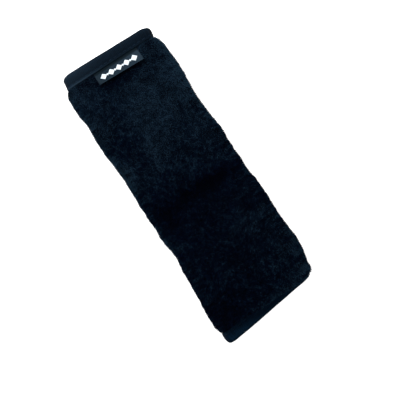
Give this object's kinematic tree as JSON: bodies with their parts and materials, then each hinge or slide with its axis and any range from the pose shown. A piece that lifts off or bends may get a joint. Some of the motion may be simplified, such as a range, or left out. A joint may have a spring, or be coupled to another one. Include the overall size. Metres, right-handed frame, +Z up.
{
  "type": "seat belt shoulder pad",
  "caption": "Padded plush sleeve that wraps round a car's belt at the shoulder and closes along its back with hook and loop, with taped edges and a small sewn-in tab.",
  "frame": {"origin": "middle of the underside's bounding box, on the surface that the pad lies on with its closure underneath", "axes": "+X across the pad, towards its right side; +Y along the pad, towards the head end with the tab; +Z up, out of the padded front"},
  "size_m": [0.061, 0.167, 0.019],
  "materials": {
    "plush": "short-pile plush, near-black navy",
    "foam": "soft open-cell foam",
    "lining": "smooth warp-knit lining",
    "binding": "woven tape, near-black navy",
    "loop_tape": "brushed loop pile",
    "hook_tape": "nylon hooks on woven tape",
    "label": "woven satin ribbon"
  },
  "bodies": {
    "root": {"plush_cover": "plush", "foam_padding": "foam", "inner_lining": "lining", "head_binding": "binding", "foot_binding": "binding", "under_flap_binding": "binding", "outer_flap_binding": "binding", "loop_strip": "loop_tape", "hook_strip": "hook_tape", "label_tab": "label"}
  },
  "joints": []
}
